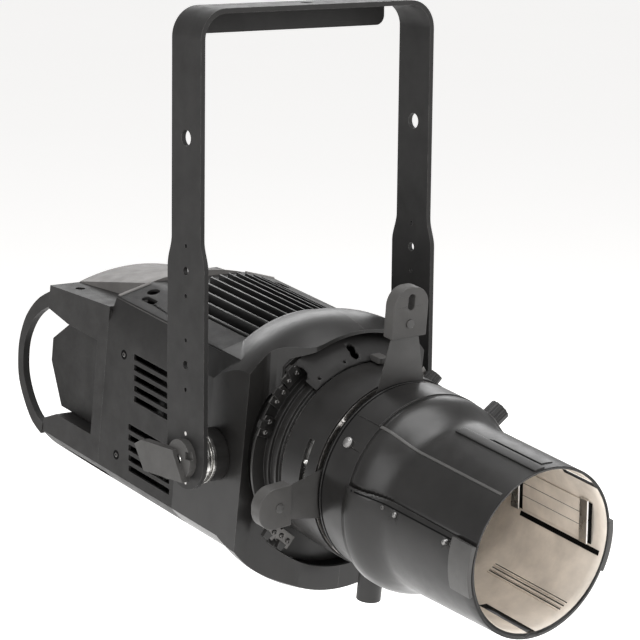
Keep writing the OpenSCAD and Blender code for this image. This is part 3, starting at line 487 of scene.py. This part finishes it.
def tube_details():
    stations = [TUBE_REAR + 1 + (RIM - 4 - TUBE_REAR - 1) * i / 24 for i in range(25)]
    for side, angle in zip(("left", "right"), RIDGE_ANGLES):
        # The ridges take the lighter pad casting finish as a painted highlight along their crests.
        curved_plate(f"tube_ridge_{side}", "pad_casting", "lens_tube", lambda s: upper_skin(s) - 1.5,
                     lambda s: upper_skin(s) + 0.9, (angle - 0.9, angle + 0.9), (0, 0), rounding=0.35,
                     steps=2, stations=stations)
    liner = TUBE_R - TUBE_WALL
    for k, (a0, a1, rear, front) in enumerate(LINER_PLATES):
        places = [rear + (front - rear) * i / 16 for i in range(17)]
        curved_plate(f"tube_liner_{k + 1}", "warm_liner", "lens_tube", lambda s: inner_bore(s) - 0.5,
                     lambda s: inner_bore(s) - 0.05, (a0, a1), (0, 0), rounding=0, stations=places)
    for k, angle in enumerate((143, 147, 150, -143, -147, -150)):
        curved_plate(f"tube_rib_{k + 1}", "warm_liner", "lens_tube", liner - 2.1, liner - 0.4,
                     (angle - 0.5, angle + 0.5), (SHOULDER[1] + 8, RIM - 10), rounding=0.2, steps=2)
    for k, angle in enumerate((141.9, 145, 148.5, -141.9, -145, -148.5)):
        curved_plate(f"tube_rib_shade_{k + 1}", "shadow_gap", "lens_tube", liner - 0.9, liner - 0.4,
                     (angle - 0.35, angle + 0.35), (SHOULDER[1] + 8, RIM - 10), rounding=0, steps=2)
    full_ring("tube_rim_lip", "cast_black", "lens_tube", liner - 0.2, liner + 1.3, (RIM - 1.6, RIM - 0.02),
              rounding=0.2)


WINDOW_MID, WINDOW_HALF = 83, 23
WINDOW_R = 77


def window_slab(name, look, reach, span, r, thick, rounding):
    """A flat plate on the chord of the window, from reach along the beam and span up the chord."""
    side = 1 if name.endswith("right") else -1
    outline = [(reach[0], span[0]), (reach[1], span[0]), (reach[1], span[1]), (reach[0], span[1])]
    mid = WINDOW_MID * side
    slab(name, look, "lens_tube", outline, polar(mid, r, 0), BEAM, around(mid) * side, thick * side, rounding)


def gel_window(side):
    """The inner side of a gel-frame guide: a flat panel between two posts, with a dark gap below it."""
    name = "right" if side > 0 else "left"
    liner = TUBE_R - TUBE_WALL
    window_slab(f"window_panel_{name}", "warm_liner", (255, 341), (-20, 20), WINDOW_R, 1, 0.2)
    for k, y in enumerate((-7, 6)):
        window_slab(f"window_line_{k + 1}_{name}", "shadow_gap", (256, 340), (y, y + 0.5), WINDOW_R - 0.1, 0.4, 0)
    for k, s in enumerate((241, 341)):
        window_slab(f"window_post_{k + 1}_{name}", "bare_aluminium", (s, s + 12), (-WINDOW_HALF, WINDOW_HALF),
                    WINDOW_R - 2, 3.2, 1.2)
    for k, s in enumerate((253, 353)):
        window_slab(f"window_shade_{k + 1}_{name}", "shadow_gap", (s, s + 4), (-WINDOW_HALF + 2, WINDOW_HALF - 2),
                    WINDOW_R - 0.4, 0.8, 0)
    low = (WINDOW_MID + 17) * side
    curved_plate(f"window_gap_{name}", "shadow_gap", "lens_tube", liner - 1.1, liner - 0.4,
                 (low, low + 3.4 * side), (255, RIM - 6), rounding=0, steps=2)


def tube_top():
    """A raised rail along the crown and the slot beside it."""
    curved_plate("tube_top_rail", "cast_black", "lens_tube", TUBE_R - 1, TUBE_R + 1.6, (-14, -6),
                 (258, RIM - 1), rounding=0.6, steps=4)
    curved_plate("tube_top_slot", "shadow_gap", "lens_tube", TUBE_R - 1, TUBE_R + 0.15, (-5, -3.6),
                 (292, RIM - 12), rounding=0.05, steps=2)
    curved_plate("tube_top_lip", "cast_black", "lens_tube", TUBE_R - 1, TUBE_R + 0.9, (-3.6, 6),
                 (296, RIM - 10), rounding=0.4, steps=4)


def tube_joint():
    """The dark joint line between the two shells, with small screws along it."""
    stations = [208 + (RIM - 6 - 208) * i / 20 for i in range(21)]
    for side in (-1, 1):
        name = "left" if side < 0 else "right"
        angle = JOINT_ANGLE * side
        curved_plate(f"tube_joint_{name}", "shadow_gap", "lens_tube", lambda s: lower_skin(s) - 2,
                     lambda s: lower_skin(s) + 0.12, (angle - 0.5, angle + 0.5), (0, 0), sag=LOWER_SAG,
                     rounding=0.03, steps=2, stations=stations)
        places = [(polar(angle + 2.6 * side, lower_skin(s) - 0.4, s, LOWER_SAG), clock(angle))
                  for s in (244, 343)]
        screw_set(f"tube_joint_screws_{name}", "pad_casting", "lens_tube", places, 4.5)


tube_details()
for side in (-1, 1):
    gel_window(side)
tube_top()
tube_joint()

# ---------- Barrel ----------


# The bright strip behind each barrel slot
STRIP_R, STRIP_HALF, STRIP_REACH = (92.9, 93.7), 13.5, (126.6, 133.4)


def barrel_details():
    for name, rear, front in (("rear", -0.2, 1.9), ("front", 3.8, 5.8)):
        full_ring(f"barrel_gap_{name}", "shadow_gap", "barrel", NOSE_R - 3, NOSE_R + 0.1,
                  (NOSE_REAR + rear, NOSE_REAR + front))
    full_ring("barrel_seam_bead", "cast_black", "barrel", NOSE_R - 2, NOSE_R + 0.5,
              (NOSE_REAR + 2, NOSE_REAR + 3.7), rounding=0.3)
    for k, (a0, a1) in enumerate(((-41, 41), (52 + 8, 117))):
        curved_plate(f"nose_band_{k + 1}", "cast_black", "barrel", NOSE_R - 2, NOSE_R + 0.9, (a0, a1),
                     (NOSE_REAR + 6.5, NOSE_FRONT - 0.6), rounding=0.4)
    screw_set("nose_screw_sockets", "dull_steel", "barrel",
              [(polar(a, NOSE_R + 2.6, 177), clock(a)) for a in (-58, 122)], 7.5, rise=0.2)
    for name, mid in (("left", -79.5), ("right", 100.5)):
        curved_plate(f"slot_strip_{name}", "bright_strip", "head", *STRIP_R,
                     (mid - STRIP_HALF, mid + STRIP_HALF), STRIP_REACH, rounding=0, steps=12)


barrel_details()

# ---------- Body ----------

HALF_W = abs(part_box("side_cover_left")[0].x) / MM
SHOULDER_H, LEAN, DECK_H = 88, 8.5, 99
BODY_REAR, BODY_FRONT = forward("side_cover_left")


def deck_point(x, s, lift=0):
    """A point on the sloping deck beside the crown, x measured from the middle."""
    edge = HALF_W - LEAN
    slope = (DECK_H - SHOULDER_H) / (edge - 60)
    h = SHOULDER_H + (edge - abs(x)) * slope
    return head(x, h + lift, s)


def body_details():
    for side in (-1, 1):
        name = "left" if side < 0 else "right"
        edge = HALF_W - LEAN
        rail = [(0.5, -2.7), (0.9, -1.8), (0.2, -0.9), (-0.6, -1.0), (-0.6, -2.6)]
        rings = []
        for s in (BODY_REAR + 1, BODY_FRONT - 1):
            rings.append([head(side * (edge + dx), SHOULDER_H + dh, s) for dx, dh in rail])
        verts, faces = loft(rings)
        piece(f"deck_seam_{name}", verts, faces, "dark_steel", "head", rounding=0.1)
        rings = []
        for i in range(9):
            x = side * (edge - 1 - (edge - 63) * i / 8)
            base = [deck_point(x, BODY_REAR + ds, lift) for ds, lift in ((0.4, -0.5), (0.4, 1.1), (1.6, 1.6),
                                                                       (3.4, 1.1), (4.2, -0.5))]
            rings.append(base)
        verts, faces = loft(rings)
        # The rear ridge takes the hood moulding's light grey as a painted highlight along the ridge.
        piece(f"deck_rear_ridge_{name}", verts, faces, "hood_moulding", "head", rounding=0.2)


body_details()

cover_places = []
for side in (-1, 1):
    for h in (34, -77.5):
        origin = head(side * (HALF_W - 0.6), h, -173.5)
        cover_places.append((origin, ACROSS * side))
        name = f"cover_screw_well_{len(cover_places)}"
        turned_piece(name, "shadow_gap", "head", [(5.2, 0), (5.2, 0.72)], origin, ACROSS * side)
screw_set("cover_screw_heads", "dark_steel", "head", cover_places, 5.8, rise=0.18)

# ---------- Gate hardware ----------


def gate_cluster(name, angle, r, s):
    """A small pressed plate with two screws and a bent tab, on the front of the gate."""
    out, along = clock(angle), around(angle)
    origin = polar(angle, r, s)
    slab(f"{name}_plate", "dark_steel", "head", [(-11, -7), (9, -7), (11, -3), (11, 6), (4, 8), (-11, 8)],
         origin, along, out, 2.2)
    slab(f"{name}_tab", "cast_black", "head", [(-4, 5), (7, 5), (5, 13), (-2, 13)],
         origin + BEAM * 1.2 * MM, along, out, 5)
    facing = along.cross(out)
    screw_set(f"{name}_screws", "dark_steel", "head",
              [(origin + (along * dx + out * dy) * MM + facing * 2.2 * MM, facing)
               for dx, dy in ((-5.5, 0.5), (5.5, 0))], 5.5)


gate_cluster("gate_top_left", -42, 113, 70)
gate_cluster("gate_upper_left", -54, 110, 70)
gate_cluster("gate_mid_left", -71, 107, 70)
gate_cluster("gate_base_left", -143, 110, 70)
gate_cluster("gate_lower_left", -132, 112, 70)
gate_cluster("gate_upper_right", 56, 110, 70)
gate_cluster("gate_lower_right", 132, 112, 70)
LATCH_TOP, LATCH_CLEARANCE = 106, 1.2
slab("slot_latch", "grip_plastic", "head", [(-6, 0), (6, 0), (6, 14), (4, 16), (-4, 16), (-6, 14)],
     head(7, LATCH_TOP, 94), ACROSS, BEAM, LATCH_TOP - SLEEVE_R - LATCH_CLEARANCE, rounding=1.0)

# ---------- Floor, light and camera ----------

FLOOR_DROP, FLOOR_HALF = 0.45, 60


def pale_floor():
    m = Shader("floor_paint")
    m.link(m.blend(m.noise(0.7, 2), (0.9, 0.895, 0.885), (0.93, 0.926, 0.92)), m.surface.inputs["Base Color"])
    m.surface.inputs["Roughness"].default_value = 0.9
    m.surface.inputs["Emission Color"].default_value = (1, 0.99, 0.98, 1)
    m.surface.inputs["Emission Strength"].default_value = 0.52
    mesh = bpy.data.meshes.new("floor")
    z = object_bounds()[0].z - FLOOR_DROP
    corners = [(x * FLOOR_HALF, y * FLOOR_HALF, z) for x, y in ((-1, -1), (1, -1), (1, 1), (-1, 1))]
    mesh.from_pydata(corners, [], [(0, 1, 2, 3)])
    mesh.materials.append(m.material)
    floor = bpy.data.objects.new("floor", mesh)
    bpy.context.scene.collection.objects.link(floor)


def softbox(name, place, target, size, power, colour=(1, 1, 1)):
    light = bpy.data.lights.new(name, "AREA")
    light.shape = "RECTANGLE"
    light.size, light.size_y = size
    light.energy = power
    light.color = colour
    obj = bpy.data.objects.new(name, light)
    obj.location = place
    obj.rotation_euler = (Vector(target) - Vector(place)).to_track_quat("-Z", "Y").to_euler()
    bpy.context.scene.collection.objects.link(obj)


def studio():
    world = bpy.data.worlds.new("studio")
    world.use_nodes = True
    world.node_tree.nodes["Background"].inputs["Color"].default_value = (1, 1, 1, 1)
    world.node_tree.nodes["Background"].inputs["Strength"].default_value = 0.42
    bpy.context.scene.world = world
    aim = PIVOT
    softbox("top_box", (0.1, -0.2, 2.4), aim, (2.2, 2.2), 80)
    softbox("left_box", (-2.6, -0.5, 0.5), aim, (1.2, 2.0), 26)
    softbox("front_box", (-0.9, -3.0, 0.9), aim, (1.4, 1.4), 26)
    softbox("right_box", (2.4, -1.6, 0.9), aim, (1.0, 1.8), 30)
    softbox("rear_box", (1.5, 2.4, 0.9), aim, (2.6, 1.2), 26)


CAMERA_PLACE = Vector((-1.7087, -2.2830, 0.2045))
CAMERA_AZIMUTH, CAMERA_DROP, CAMERA_ROLL = 37.1607, 10.4717, 0.6709
CAMERA_LENS = 159.9


def camera():
    a, d, roll = radians(CAMERA_AZIMUTH), radians(CAMERA_DROP), radians(CAMERA_ROLL)
    ahead = Vector((sin(a) * cos(d), cos(a) * cos(d), -sin(d)))
    right = Vector((cos(a), -sin(a), 0))
    upward = right.cross(ahead)
    x = right * cos(roll) + upward * sin(roll)
    y = upward * cos(roll) - right * sin(roll)
    data = bpy.data.cameras.new("camera")
    data.lens = CAMERA_LENS
    data.sensor_width = 36
    cam = bpy.data.objects.new("camera", data)
    turn = Matrix((x, y, -ahead)).transposed()
    cam.matrix_world = Matrix.Translation(CAMERA_PLACE) @ turn.to_4x4()
    bpy.context.scene.collection.objects.link(cam)
    bpy.context.scene.camera = cam


pale_floor()
studio()
camera()
bpy.context.scene.view_settings.view_transform = "Standard"
